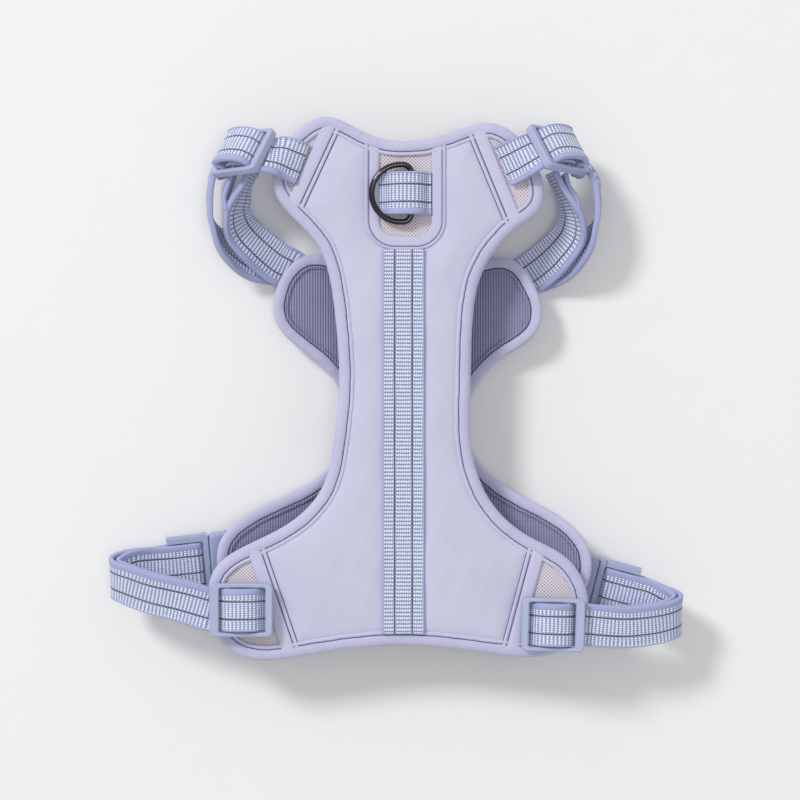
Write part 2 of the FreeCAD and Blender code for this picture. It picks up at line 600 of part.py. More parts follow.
def make_plug(side, placement):
    name = side + "_plug"
    half = size("buckle_gauge") / 2
    face = rounded_box(name + "_face", "3", "<buckle_width>", "<buckle_gauge>", 0, "0", "-<buckle_gauge>/2")
    block_shape = rounded_box(name + "_frame", "<plug_length>", "<buckle_width>", "6", 0, "0", "-3")
    opening = rounded_box(name + "_opening", "<plug_length>", "<buckle_width>-2*<plug_rail>", "8", 0,
                          "3", "-4")
    rails = cut(name + "_rails", fuse(name + "_block", face, block_shape), opening)
    near_bar = rounded_box(name + "_near_bar", "4", "<buckle_width>-<plug_rail>", "3", 0, "7.4", "-1.5")
    far_bar = rounded_box(name + "_far_bar", "3", "<buckle_width>-<plug_rail>", "3", 0, "20.5", "-1.5")
    guide = rounded_box(name + "_guide", "20", "5", "3.6", 0, "-20", "-1.8")
    body = fuse(name + "_body", rails, near_bar, far_bar, guide)
    rounded = soften(name + "_round", body, 1.2,
                     lambda edge: outer_long_edge(edge, half, size("buckle_width") / 2))
    keep(rounded, side + "_buckle_plug", placement)


def outer_long_edge(edge, half_gauge, half_width):
    """Outside edges that run along the rails of a plug."""
    ends = edge.Vertexes
    if len(ends) != 2:
        return False
    on_side = all(abs(abs(v.Y) - half_width) < 0.01 for v in ends)
    lengthwise = abs(ends[0].Z - ends[1].Z) < 0.01 and abs(ends[0].X - ends[1].X) > 5
    return on_side and lengthwise


def make_prongs(side, placement):
    """Two springy arms of the plug, each with a shoulder that catches in a socket window."""
    for which, sign in (("front", -1), ("rear", 1)):
        arm = [(-0.5, 9.0), (-14.0, 9.6), (-26.0, 10.4), (-26.0, 12.2), (-22.8, 15.6), (-13.0, 16.4),
               (-12.0, 12.9), (-0.5, 12.6)]
        gauge = size("prong_gauge")
        corners = [Vec(x, sign * y, -gauge / 2) for x, y in arm]
        shape = Part.Face(Part.makePolygon(corners + corners[:1])).extrude(Vec(0, 0, gauge))
        shape_node("%s_buckle_prong_%s" % (side, which), shape, placement)


make_back_panel()
make_chest_panel()
make_straps()
make_rings()
make_sliders()
make_buckles()
doc.recompute()

for thing in doc.Objects:
    if "Invalid" in thing.State or "Error" in thing.State:
        raise RuntimeError("failed object: " + thing.Name)
os.makedirs("parts", exist_ok=True)
for part in nodes:
    if part.Shape.isNull() or not part.Shape.isValid():
        raise RuntimeError("bad shape: " + part.Label)
    part.Shape.exportStep("parts/%s.step" % part.Label)
    box = part.Shape.BoundBox
    print("%-28s %2d solids %9.0f mm3  x %7.1f %7.1f  y %7.1f %7.1f  z %5.1f %5.1f" % (
        part.Label, len(part.Shape.Solids), part.Shape.Volume,
        box.XMin, box.XMax, box.YMin, box.YMax, box.ZMin, box.ZMax))
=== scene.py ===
import math

import bpy
import numpy as np
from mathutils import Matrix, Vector
from mathutils.geometry import delaunay_2d_cdt


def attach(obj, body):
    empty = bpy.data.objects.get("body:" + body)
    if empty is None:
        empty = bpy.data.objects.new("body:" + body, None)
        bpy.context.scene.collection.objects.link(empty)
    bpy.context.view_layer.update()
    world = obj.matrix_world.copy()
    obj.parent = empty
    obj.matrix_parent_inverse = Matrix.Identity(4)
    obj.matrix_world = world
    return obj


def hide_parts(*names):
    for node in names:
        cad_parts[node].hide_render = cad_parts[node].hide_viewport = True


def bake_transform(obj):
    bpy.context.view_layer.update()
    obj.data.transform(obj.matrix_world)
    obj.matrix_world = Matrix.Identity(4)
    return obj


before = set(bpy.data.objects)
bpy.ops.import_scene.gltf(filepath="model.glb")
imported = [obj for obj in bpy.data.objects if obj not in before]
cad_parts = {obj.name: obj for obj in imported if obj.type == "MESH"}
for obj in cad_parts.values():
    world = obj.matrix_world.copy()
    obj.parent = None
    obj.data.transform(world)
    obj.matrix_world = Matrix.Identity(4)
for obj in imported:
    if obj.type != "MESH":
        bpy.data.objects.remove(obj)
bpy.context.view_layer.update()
MM = 0.001

# ---------------------------------------------------------------- the harness's own sizes, in mm
BACK_OUTLINE = [
    (6.5, 144), (-12.5, 146.5), (-27, 153.5), (-41.5, 158), (-54.5, 152.5), (-64, 142),
    (-71.5, 129), (-71.5, 116), (-65, 104.5), (-54.5, 93.5), (-45, 81.5), (-38.5, 62),
    (-35, 35.5), (-33.5, 0.5), (-36.5, -30), (-43.5, -58), (-60, -76.5), (-89, -92),
    (-105.5, -104.5), (-110, -123), (-104, -145), (-91, -155.5), (-56, -156), (3, -149.5),
    (60, -155), (89, -155), (105.5, -146), (111.5, -130), (109.5, -114), (99.5, -99),
    (78, -86.5), (56.5, -68), (45.5, -44), (43, 0), (44.5, 42), (49, 65), (61.5, 85),
    (72, 94.5), (83.5, 104.5), (85.5, 118.5), (79.5, 134), (70, 147), (54.5, 154.5), (30, 148.5),
]
CHEST_OUTLINE = [
    (4.5, 61), (-21.5, 67), (-41, 79), (-56, 78), (-71.5, 57), (-71.5, 40), (-50.5, 18.5),
    (-34.5, 0), (-31.5, -21.5), (-40, -46), (-65.5, -63), (-91, -76), (-103, -88.5),
    (-105, -104), (-96, -124.5), (-57, -133), (4.5, -135), (67, -133), (104, -126),
    (114, -108), (111, -90), (97.5, -76), (67.5, -59.5), (47, -40), (41.5, -20), (48, 2),
    (66, 20), (82, 32), (86, 46), (81, 62), (69, 76), (53, 77), (31.5, 67),
]
# hem lines: two points of the shell's edge; the bare mesh lies outside
HEMS = {
    "front_left": ((-42.5, 154.4), (-63.4, 109.2)),
    "front_right": ((53.1, 146.4), (69.9, 105.8)),
    "rear_left": ((-89, -88), (-63.5, -162)),
    "rear_right": ((88, -89), (68.5, -162)),
}
PANEL_MIDDLE = (5.0, 0.0)
WINDOW = {"left": -10.0, "right": 20.5, "bottom": 88.5, "top": 142.0, "corner": 9.0}
CUP_RADIUS, CUP_MIDDLE = 270.0, 4.5          # the chest panel curves up towards its sides
BACK_FLOOR, MESH_TOP, SHELL_TOP = 37.0, 42.2, 43.6
CHEST_FLOOR, CHEST_THICK = 2.9, 6.3
ROLL_WIDTH, HEM_WIDTH, TRIM_WIDTH = 9.1, 10.9, 8.3          # the back panel's sewn edges
PAD_INSET = 2.2          # the padding ends this far inside its rolled edge
OUTLINE_STEP = 1.5       # spacing of the points along a panel's edge
BAND_STEP = 1.0          # spacing of the points along a sewn band or a rolled edge
SEAM_INSET, SEAM_HEIGHT = 6.72, 6.35          # the thread along a rolled edge
WIDTH = 25.0             # webbing
RIB = 2.2                # from one rib of the webbing to the next
REST_GAP = 0.1           # no strap comes nearer to the floor
# ways through the fittings: (along, up) in the fitting's own axes
OVER_MIDDLE = [(-15.8, -4.05), (-13, -3.85), (-10.8, -1.2), (-8, 2.2), (-4, 3.9), (0.5, 4.4),
               (5, 3.8), (8.4, 2.0), (10.2, -0.8), (11.0, -3.4), (13, -4.9), (16, -5.1), (19, -5.2)]
OVER_SHOULDER = [(-15.8, -4.05), (-13, -3.85), (-11.0, -1.0), (-9.8, 2.6), (-7.4, 5.8),
                 (-2.5, 7.8), (3, 8.5), (8.5, 8.0), (12.3, 6.1), (12.0, 3.8), (9.9, 1.3),
                 (9.9, -1.3), (11.1, -3.7), (13, -5.2), (16, -5.8), (19, -6.5)]
ROUND_SLIDER_BAR = [(5.6, -2.6), (2, -3.3), (-2.5, -3.1), (-4.6, -1.6), (-5, 0.3), (-4.4, 2.2),
                    (-2, 3.4), (2, 3.6), (5.2, 2.5)]
ROUND_PLUG_BAR = [(22, -3.2), (14, -3.2), (8, -3.1), (5.6, -2.2), (4.7, 0), (5.6, 2.2),
                  (8, 3.1), (14, 3.2), (22, 3.2)]
ROUND_CHEST_RING = [(9, -2.1), (5, -2.5), (1.4, -2.7), (-1.7, -2.2), (-2.85, 0), (-1.7, 2.2),
                    (1.4, 2.75), (7, 2.7)]
SLOT_END = 12.9          # a slider's slots end this far from its middle
GIRTH_UNDER, SHOULDER_UNDER = 7.5, -4.0          # how far the fixed layer goes under a slider
# fittings: middle, way along the strap, way across it
SLIDERS = {
    "left_girth": ((-89.7, -128, 50.6), (-1, 0, 0), (0, -1, 0)),
    "right_girth": ((90.5, -136.5, 50.6), (1, -0.03, 0), (0, 1, 0)),
    "left_shoulder": ((-89.1, 137, 40.5), (-0.75, -0.03, -0.66), (-0.27, -0.8, 0.53)),
    "right_shoulder": ((93.8, 138.6, 40.3), (0.7, -0.06, -0.71), (-0.27, 0.8, -0.53)),
}
BUCKLES = {
    "left": ((-111, -102.3, 13.5), (-0.98, -0.1, 0.16), (0, -0.99, -0.14)),
    "right": ((117.8, -116.4, 13.5), (0.95, -0.25, 0.16), (0.25, 0.96, 0.14)),
}
CHEST_RINGS = {
    "left": ((-58.5, 67.2, 4.0), (-0.81, 0.58, 0), (-0.58, -0.81, 0)),
    "right": ((71.5, 63.2, 4.0), (0.84, 0.54, 0), (-0.54, 0.84, 0)),
}
# strap stations: centre, then way across the strap
GIRTH_RUNS = {
    "left": {
        "out": [(-126, -123, 45, 0, -1, -0.15), (-143, -119, 43, 0, -1, -0.25),
                (-157, -114.5, 40, 0, -1, -0.3), (-164.5, -112, 35.5, 0, -1, -0.33),
                (-166.3, -110, 31, 0, -1, -0.36), (-163.5, -107.5, 26.5, 0, -1, -0.38),
                (-155, -106, 21.5, 0, -1, -0.3), (-143, -105.6, 16.2, 0.1, -1, -0.16)],
        "back": [(-143, -105.6, 22.2, 0.1, -1, -0.16), (-153, -106, 26, 0, -1, -0.3),
                 (-159, -108.5, 29, 0, -1, -0.36), (-161.3, -110.5, 32, 0, -1, -0.34),
                 (-157, -113.5, 36, 0, -1, -0.3), (-143, -118.5, 39.4, 0, -1, -0.25),
                 (-126, -122.5, 41.3, 0, -1, -0.15), (-115.5, -126, 42, 0, -1, 0)],
    },
    "right": {
        "out": [(130, -138.5, 45, 0, -1, -0.15), (146, -137.5, 43, 0, -1, -0.22),
                (158, -135.5, 40, 0, -1, -0.28), (164.2, -133.5, 35.5, 0, -1, -0.32),
                (165.8, -131.5, 31, 0, -1, -0.36), (163, -129.5, 26.5, -0.08, -1, -0.36),
                (156, -127.5, 21.5, -0.15, -1, -0.28), (147.5, -124.6, 16.5, -0.25, -1, -0.15)],
        "back": [(147.5, -124.6, 22.3, -0.25, -1, -0.15), (154, -127.5, 26.3, -0.15, -1, -0.28),
                 (158.8, -129.5, 29, -0.08, -1, -0.36), (160.8, -131.5, 32, 0, -1, -0.34),
                 (157, -134.5, 36, 0, -1, -0.28), (146, -137, 39.4, 0, -1, -0.22),
                 (130, -138, 41.3, 0, -1, -0.15), (117, -138, 42, 0, -1, 0)],
    },
}
SHOULDER_RUNS = {
    "left": {
        "hem": [(-55.1, 130.3, 44.7, -0.35, -0.93, 0), (-60, 132, 46.9, -0.33, -0.94, 0),
                (-66, 133.9, 48.9, -0.3, -0.9, 0.22),
                (-71.6, 134.4, 48.7, -0.27, -0.82, 0.5)],
        "out": [(-106.4, 128.2, 21.0, -0.08, -0.46, 0.88), (-109, 120, 23.5, 0.08, -0.12, 1),
                (-109.9, 110, 23.5, 0.1, 0, 1), (-108.6, 97, 22, 0, 0.05, 1),
                (-100.3, 84.2, 17.5, -0.42, -0.2, 0.88), (-86.6, 76.4, 10.2, -0.62, -0.6, 0.5),
                (-73.4, 74.2, 4.5, -0.6, -0.78, 0.1)],
        "back": [(-72, 75.2, 9.4, -0.6, -0.78, 0.15), (-82, 83.2, 15.2, -0.7, -0.6, 0.42),
                 (-90.8, 92.8, 20.5, -0.75, -0.33, 0.56), (-93.8, 102.5, 24, -0.55, -0.15, 0.82),
                 (-92, 110.5, 25.8, -0.38, -0.1, 0.92), (-88.4, 119.5, 27.1, -0.14, -0.1, 0.98),
                 (-83.4, 129.5, 27.6, -0.18, -0.1, 0.97)],
    },
    "right": {
        "hem": [(62.2, 128.8, 44.4, 0.386, -0.92, 0), (68.8, 131.8, 46.6, 0.38, -0.92, 0),
                (75.2, 134.8, 49.4, 0.31, -0.88, 0.24)],
        "out": [(112.8, 128, 20.0, 0.1, -0.48, 0.87), (117, 120, 23.5, -0.08, -0.12, 1),
                (118.6, 109.5, 23.5, -0.1, 0, 1), (117.4, 97, 22, 0, 0.05, 1),
                (110.6, 85, 18, 0.42, -0.2, 0.88), (98.5, 75.3, 10.2, 0.6, -0.62, 0.5),
                (86.3, 70.4, 4.8, 0.56, -0.8, 0.1)],
        "back": [(85.5, 72.5, 9.4, 0.58, -0.8, 0.15), (93.6, 79.6, 15.4, 0.68, -0.55, 0.44),
                 (101.6, 90, 20.6, 0.72, -0.3, 0.6), (103.2, 99.5, 24, 0.52, -0.12, 0.84),
                 (100.6, 108, 26, 0.3, -0.08, 0.95), (96, 117, 27, 0.16, -0.08, 0.98),
                 (90.8, 127, 27.6, 0.18, -0.1, 0.97)],
    },
}
# free strap ends
TAILS = {
    "left": [(-95.5, 127, 26), (-98, 119.5, 26), (-100.6, 111.5, 25.5), (-99.4, 104.5, 25)],
    "right": [(98.6, 125.5, 26), (100.6, 118, 26), (104.4, 112, 25.5), (106.4, 106, 25)],
}


# ---------------------------------------------------------------- lines and fields
def unit(vectors):
    return vectors / np.linalg.norm(vectors, axis=1)[:, None]


def closed_line(points, step, fineness=40):
    """Periodic cubic spline through points, as points step apart."""
    p = np.array(points, float)
    n = len(p)
    h = np.linalg.norm(np.roll(p, -1, 0) - p, axis=1)
    a = np.zeros((n, n))
    rhs = np.zeros((n, 2))
    for i in range(n):
        before, after = h[i - 1], h[i]
        a[i, (i - 1) % n] += before
        a[i, i] += 2 * (before + after)
        a[i, (i + 1) % n] += after
        rhs[i] = 6 * ((p[(i + 1) % n] - p[i]) / after - (p[i] - p[i - 1]) / before)
    bend = np.linalg.solve(a, rhs)
    dense = []
    for i in range(n):
        j = (i + 1) % n
        t = np.linspace(0, h[i], fineness, endpoint=False)[:, None]
        r = h[i] - t
        dense.append(bend[i] * r ** 3 / (6 * h[i]) + bend[j] * t ** 3 / (6 * h[i])
                     + (p[i] / h[i] - bend[i] * h[i] / 6) * r
                     + (p[j] / h[i] - bend[j] * h[i] / 6) * t)
    return respaced(np.vstack(dense + [dense[0][:1]]), step)[:-1]


def respaced(line, step):
    """The same line as evenly spaced points; extra columns are carried along."""
    run = np.concatenate([[0], np.cumsum(np.linalg.norm(np.diff(line[:, :3], axis=0), axis=1))])
    count = max(2, int(round(run[-1] / step)) + 1)
    at = np.linspace(0, run[-1], count)
    return np.column_stack([np.interp(at, run, line[:, k]) for k in range(line.shape[1])])


def inwards(line, reach):
    """Unit vectors into a closed counter-clockwise line, smoothed over reach points each way."""
    ahead = unit(np.roll(line, -reach, 0) - np.roll(line, reach, 0))
    return np.column_stack([-ahead[:, 1], ahead[:, 0]])


def inset(line, by, reach=2):
    return line + inwards(line, reach) * by


def distance(points, line, batch=2000):
    """Distance from each point to a closed line of short segments."""
    d = np.roll(line, -1, 0) - line
    length = (d ** 2).sum(1) + 1e-12
    out = np.empty(len(points))
    for k in range(0, len(points), batch):
        q = points[k:k + batch, None, :] - line[None]
        t = np.clip((q * d).sum(2) / length, 0, 1)
        out[k:k + batch] = np.sqrt(((q - t[..., None] * d) ** 2).sum(2).min(1))
    return out


def inside(points, line):
    x, y = points[:, 0, None], points[:, 1, None]
    a, b = line, np.roll(line, -1, 0)
    with np.errstate(divide="ignore", invalid="ignore"):
        cut = a[:, 0] + (y - a[:, 1]) * (b[:, 0] - a[:, 0]) / (b[:, 1] - a[:, 1])
    return (((a[:, 1] > y) != (b[:, 1] > y)) & (x < cut)).sum(1) % 2 == 1


def beyond(points, ends):
    """How far each point lies past a hem line, away from the panel's middle."""
    a, b = np.array(ends[0], float), np.array(ends[1], float)
    across = np.array([-(b - a)[1], (b - a)[0]]) / np.linalg.norm(b - a)
    if (np.array(PANEL_MIDDLE) - a) @ across > 0:
        across = -across
    return (points - a) @ across


def wander(s, seed, length):
    """A smooth uneven wave of about unit height."""
    shift = seed * 1.7
    turn = 2 * np.pi * s
    return (np.sin(turn / length + shift) + 0.6 * np.sin(turn / (length * 0.43) + 2.1 * shift)
            + 0.35 * np.sin(turn / (length * 0.21) + 3.7 * shift)) / 1.6


def cup(x):
    """How far the chest panel has risen at x."""
    return CUP_RADIUS - np.sqrt(CUP_RADIUS ** 2 - (x - CUP_MIDDLE) ** 2)


def level(x):
    return 0 * x


def axes(origin, along, across):
    """A fitting's middle and its three unit axes."""
    ex = np.array(along, float) / np.linalg.norm(along)
    ez = np.cross(ex, across)
    ez /= np.linalg.norm(ez)
    return np.array(origin, float), ex, np.cross(ez, ex), ez


def local_stations(place, points, sense):
    """Points in a fitting's own axes as strap stations; sense turns the way across round."""
    o, ex, ey, ez = axes(*place)
    return [tuple(o + x * ex + z * ez) + tuple(sense * ey) for x, z in points]


# ---------------------------------------------------------------- meshes
def new_object(name, verts, faces, materials, uv=None, picks=None):
    """A smooth-shaded object from points in mm; picks holds one material index per face."""
    mesh = bpy.data.meshes.new(name)
    mesh.from_pydata((np.asarray(verts) * MM).tolist(), [],
                     [tuple(int(i) for i in f) for f in faces])
    for m in materials:
        mesh.materials.append(m)
    if picks is not None:
        mesh.polygons.foreach_set("material_index", np.asarray(picks, np.int32))
    if uv is not None:
        layer = mesh.uv_layers.new(name="run")
        index = np.empty(len(mesh.loops), np.int32)
        mesh.loops.foreach_get("vertex_index", index)
        layer.data.foreach_set("uv", (np.asarray(uv)[index] * MM).astype(np.float32).ravel())
    mesh.polygons.foreach_set("use_smooth", [True] * len(mesh.polygons))
    mesh.update()
    obj = bpy.data.objects.new(name, mesh)
    bpy.context.scene.collection.objects.link(obj)
    return obj


def run_uv(across, run, shape):
    """Texture places in mm, across the profile and along the run."""
    return np.stack([np.broadcast_to(across, shape), np.broadcast_to(run[:, None], shape)], axis=2)


def swept(name, rings, closed, materials, uv, picks):
    """Skin over rings (stations x profile points x 3); picks holds a material per profile edge."""
    n, m, _ = rings.shape
    faces, chosen = [], []
    for i in range(n if closed else n - 1):
        j = (i + 1) % n
        for k in range(m):
            after = (k + 1) % m
            faces.append((i * m + k, j * m + k, j * m + after, i * m + after))
            chosen.append(picks[k])
    if not closed:
        faces.append(tuple(range(m)))
        faces.append(tuple((n - 1) * m + k for k in reversed(range(m))))
        chosen += [picks[0], picks[0]]
    return new_object(name, rings.reshape(-1, 3), faces, materials, uv.reshape(-1, 2), chosen)


def field_points(outline, spacing, keep):
    """Evenly scattered points that fill an outline, clear of its edge."""
    low, high = outline.min(0), outline.max(0)
    rows = []
    for k, y in enumerate(np.arange(low[1], high[1], spacing * 0.866)):
        x = np.arange(low[0] + (k % 2) * spacing / 2, high[0], spacing)
        rows.append(np.column_stack([x, np.full(len(x), y)]))
    grid = np.vstack(rows)
    grid = grid[keep(grid)]
    return grid[distance(grid, outline) > spacing * 0.55]


def pillow(name, outline, keep, top, bottom, spacing, materials):
    """Closed padded piece: top(points) and bottom(points) give the heights of its two faces."""
    points = np.vstack([outline, field_points(outline, spacing, keep)])
    edges = [(k, (k + 1) % len(outline)) for k in range(len(outline))]
    out = delaunay_2d_cdt([Vector(p) for p in points], edges, [], 0, 1e-6)
    flat = np.array([tuple(v) for v in out[0]])
    tris = np.array(out[2])
    middle = flat[tris].mean(1)
    tris = tris[keep(middle) & inside(middle, outline)]
    used = np.unique(tris)
    renumber = np.full(len(flat), -1)
    renumber[used] = np.arange(len(used))
    flat, tris = flat[used], renumber[tris]
    count = len(flat)
    verts = np.vstack([np.column_stack([flat, face(flat)]) for face in (top, bottom)])
    directed = dict.fromkeys(e for a, b, c in tris for e in ((a, b), (b, c), (c, a)))
    rim = [e for e in directed if (e[1], e[0]) not in directed]
    faces = [tuple(t) for t in tris] + [(a + count, c + count, b + count) for a, b, c in tris]
    faces += [(b, a, a + count, b + count) for a, b in rim]
    picks = [0] * len(tris) + [1] * len(tris) + [0] * len(rim)
    return new_object(name, verts, faces, materials, picks=picks)


def edge_roll(name, outline, floor_height, materials, lift, seed):
    """Rolled binding along a closed outline."""
    line = closed_line(outline, BAND_STEP)
    run = np.arange(len(line)) * BAND_STEP
    q, z = np.array([(q, z + floor_height) for q, z in ROLL], float).T
    ripple = 1 + 0.05 * wander(run, seed, 26)
    sway = 0.18 * wander(run, seed + 2, 18)[:, None, None] * (q / 9)[None, :, None]
    flat = line[:, None, :] + inwards(line, 3)[:, None, :] * (q[None, :, None] + sway)
    mid = (z.max() + z.min()) / 2
    height = mid + (z[None, :] - mid) * ripple[:, None] + lift(flat[..., 0])
    rings = np.concatenate([flat, height[..., None]], axis=2)
    arc = np.concatenate([[0], np.cumsum(np.hypot(np.diff(q), np.diff(z)))])
    uv = run_uv(arc, run, height.shape)
    picks = ROLL_PICKS[::-1][1:] + [ROLL_PICKS[-1]]
    return swept(name, rings[:, ::-1], True, materials, uv[:, ::-1], picks)


def catmull(stations, steps=24):
    """A smooth curve through the stations."""
    s = np.array([stations[0]] + list(stations) + [stations[-1]], float)
    out = []
    for p, q, r, t in zip(s, s[1:], s[2:], s[3:]):
        for k in range(steps):
            u = k / steps
            square = (2 * p - 5 * q + 4 * r - t) * u * u
            cube = (3 * q - p - 3 * r + t) * u ** 3
            out.append(0.5 * (2 * q + (r - p) * u + square + cube))
    return np.array(out + [s[-1]])


def webbing_profile(half, low, high):
    """(across, share of the half thickness, 1 on the ribbed part) round the webbing's section."""
    face = [(-half + 0.25, 0.62, 0), (-half + 0.7, 0.98, 0), (-half + 1.1, 1.0, 0)]
    face += [(-half + low - 0.7, 1.0, 0), (-half + low - 0.25, 0.8, 0)] if low > 2 else []
    left, right = -half + max(low, 1.3), half - max(high, 1.3)
    face += [(x, 0.86, 1) for x in np.linspace(left, right, 13)]
    face += [(half - high + 0.25, 0.8, 0), (half - high + 0.7, 1.0, 0)] if high > 2 else []
    face += [(half - 1.1, 1.0, 0), (half - 0.7, 0.98, 0), (half - 0.25, 0.62, 0)]
    back = [(x, -z, -r) for x, z, r in reversed(face)]
    return np.array([(-half, 0.0, 0)] + face + [(half, 0.0, 0)] + back, float).T


def strap(name, stations, borders, gauge=2.3, width=WIDTH, rim=0.35, step=0.44):
    """Ribbed webbing along the stations; borders are its plain edges' widths, low and high side,
    and rim is how far those stand proud of it."""
    line = respaced(catmull(stations), step)
    centre, across = line[:, :3], line[:, 3:]
    tangent = unit(np.gradient(centre, axis=0))
    across = unit(across - tangent * (across * tangent).sum(1)[:, None])
    normal = np.cross(tangent, across)
    run = np.arange(len(line)) * step
    half, thick = width / 2, gauge / 2
    x, share, rib = webbing_profile(half, *borders)
    z = np.where(rib != 0, np.sign(share) * (thick - 0.18), share * (thick + rim))
    wave = 0.5 + 0.5 * np.cos(2 * np.pi * run / RIB)
    height = z[None, :] + rib[None, :] * 0.34 * wave[:, None] ** 0.8
    rings = (centre[:, None, :] + across[:, None, :] * x[None, :, None]
             + normal[:, None, :] * height[..., None])
    rings[..., 2] = np.maximum(rings[..., 2], REST_GAP)
    picks = [0 if rib[k] and rib[(k + 1) % len(rib)] else 1 for k in range(len(rib))]
    return swept(name, rings, False, [webbing, webbing_edge],
                 run_uv(x + half, run, height.shape), picks)


def seam_band(name, path, profile, picks, materials, seed):
    """Sewn band along an open path; profile points are (distance to the left, height)."""
    line = respaced(np.array(path, float), BAND_STEP)
    ahead = unit(np.gradient(line, axis=0))
    side = np.column_stack([-ahead[:, 1], ahead[:, 0]])
    q, z = np.array(profile, float).T
    run = np.arange(len(line)) * BAND_STEP
    flat = line[:, None, :] + side[:, None, :] * q[None, :, None]
    height = z[None, :] + 0.07 * wander(run, seed, 17)[:, None] + np.zeros_like(flat[..., 0])
    rings = np.concatenate([flat, height[..., None]], axis=2)
    return swept(name, rings, False, materials, run_uv(q, run, height.shape), picks)


def stitches(name, line, colour):
    """Short thread stitches along a 3-D line."""
    pitch, length, thick, sides = 3.1, 2.3, 0.26, 6
    swell = (0.35, 0.9, 1.0, 0.9, 0.35)          # of the thread's thickness, end to end
    dive = (1.6, 0.4, 0.0, 0.4, 1.6)          # the ends go into the cloth
    fine, rows = 0.25, len(swell)
    line = respaced(np.array(line, float), fine)
    run = np.arange(len(line)) * fine
    verts, faces = [], []
    for start in np.arange(0.6, run[-1] - length, pitch):
        at = start + length * np.linspace(0, 1, rows)
        centre = np.column_stack([np.interp(at, run, line[:, k]) for k in range(3)])
        ahead = centre[-1] - centre[0]
        ahead /= np.linalg.norm(ahead)
        side = np.cross([0, 0, 1], ahead)
        side /= np.linalg.norm(side)
        up = np.cross(ahead, side)
        base = len(verts)
        for k in range(rows):
            r = thick * swell[k]
            dip = -0.5 * thick * dive[k]
            for s in range(sides):
                a = 2 * math.pi * s / sides
                verts.append(centre[k] + side * math.cos(a) * r + up * (math.sin(a) * r + dip))
        for k in range(rows - 1):
            row, above = base + k * sides, base + (k + 1) * sides
            for s in range(sides):
                t = (s + 1) % sides
                faces.append((row + s, row + t, above + t, above + s))
        faces.append(tuple(base + s for s in reversed(range(sides))))
        faces.append(tuple(base + (rows - 1) * sides + s for s in range(sides)))
    return new_object(name, np.array(verts), faces, [colour])


def softened(node, voxel=0.6):
    """A sewn webbing piece with the CAD node's form, its edges rounded, which replaces it."""
    obj = bpy.data.objects.new(node + "_webbing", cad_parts[node].data.copy())
    bpy.context.scene.collection.objects.link(obj)
    remesh = obj.modifiers.new("remesh", "REMESH")
    remesh.mode = "VOXEL"
    remesh.voxel_size = voxel * MM
    soften = obj.modifiers.new("soften", "SMOOTH")
    soften.factor = 0.5
    soften.iterations = 6
    bpy.context.view_layer.update()
    graph = bpy.context.evaluated_depsgraph_get()
    done = bpy.data.meshes.new_from_object(obj.evaluated_get(graph))
    obj.modifiers.clear()
    obj.data = done
    done.materials.clear()
    done.materials.append(webbing_edge)
    done.polygons.foreach_set("use_smooth", [True] * len(done.polygons))
    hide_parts(node)
    pieces.append((obj, "webbing"))


# ---------------------------------------------------------------- materials
def linear(r, g, b):
    """A display colour, 0 to 255, as the linear one that shaders take."""
    return tuple(c / 12.92 / 255 if c <= 10 else ((c / 255 + 0.055) / 1.055) ** 2.4
                 for c in (r, g, b)) + (1.0,)


def darker(colour, share):
    return tuple(share * c for c in colour[:3]) + (1.0,)


